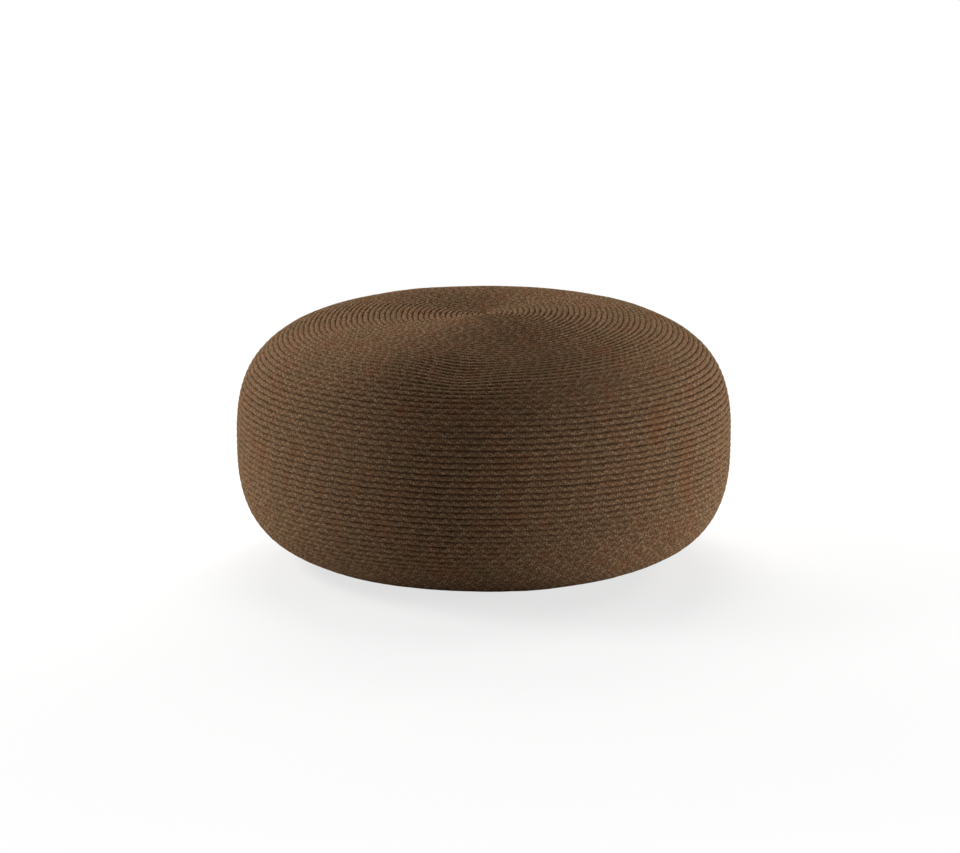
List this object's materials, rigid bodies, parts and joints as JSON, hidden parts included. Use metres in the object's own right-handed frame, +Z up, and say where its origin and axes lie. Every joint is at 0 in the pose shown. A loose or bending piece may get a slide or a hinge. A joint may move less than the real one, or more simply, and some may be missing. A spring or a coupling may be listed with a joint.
{
  "type": "outdoor ottoman footstool",
  "caption": "Round outdoor pouf footstool covered in braided cord sewn in a spiral, with a dished top, bulging side, zipped mesh base and lined foam filling.",
  "frame": {"origin": "on the floor, at the middle of the footprint", "axes": "+Z up, X along the zip with the closed end of the zip at +X, Y across it"},
  "size_m": [0.72, 0.72, 0.365],
  "materials": {
    "cord": "matte",
    "mesh_panel": "matte",
    "webbing": "matte",
    "zip_tape": "matte",
    "zip_teeth": "satin",
    "zip_metal": "satin",
    "liner": "matte",
    "wadding": "matte",
    "soft_foam": "matte",
    "firm_foam": "matte"
  },
  "bodies": {
    "pouf": {"cord_cover": "cord", "base_panel_front": "mesh_panel", "base_panel_rear": "mesh_panel", "seam_binding": "webbing", "zip_tape_front": "zip_tape", "zip_tape_rear": "zip_tape", "zip_teeth_front": "zip_teeth", "zip_teeth_rear": "zip_teeth", "zip_top_stop_front": "zip_metal", "zip_top_stop_rear": "zip_metal", "zip_bottom_stop": "zip_metal", "liner_top": "liner", "liner_base": "liner", "fibre_wrap": "wadding", "foam_crown_pad": "soft_foam", "foam_rim": "soft_foam", "foam_core_upper": "soft_foam", "foam_core_lower": "soft_foam", "foam_base_slab": "firm_foam"},
    "slider": {"zip_slider": "zip_metal"},
    "pull": {"zip_pull": "zip_metal"}
  },
  "joints": [
    {"name": "zip_slide", "type": "slide", "parent": "pouf", "child": "slider", "axis": [-1, 0, 0], "range_m": [0, 0.298], "deforming": ["zip_teeth_front", "zip_teeth_rear"]},
    {"name": "pull_hinge", "type": "hinge", "parent": "slider", "child": "pull", "pos_m": [0.1492, 0, 0.0051], "axis": [0, 1, 0], "range_deg": [-170, 9.8]}
  ]
}
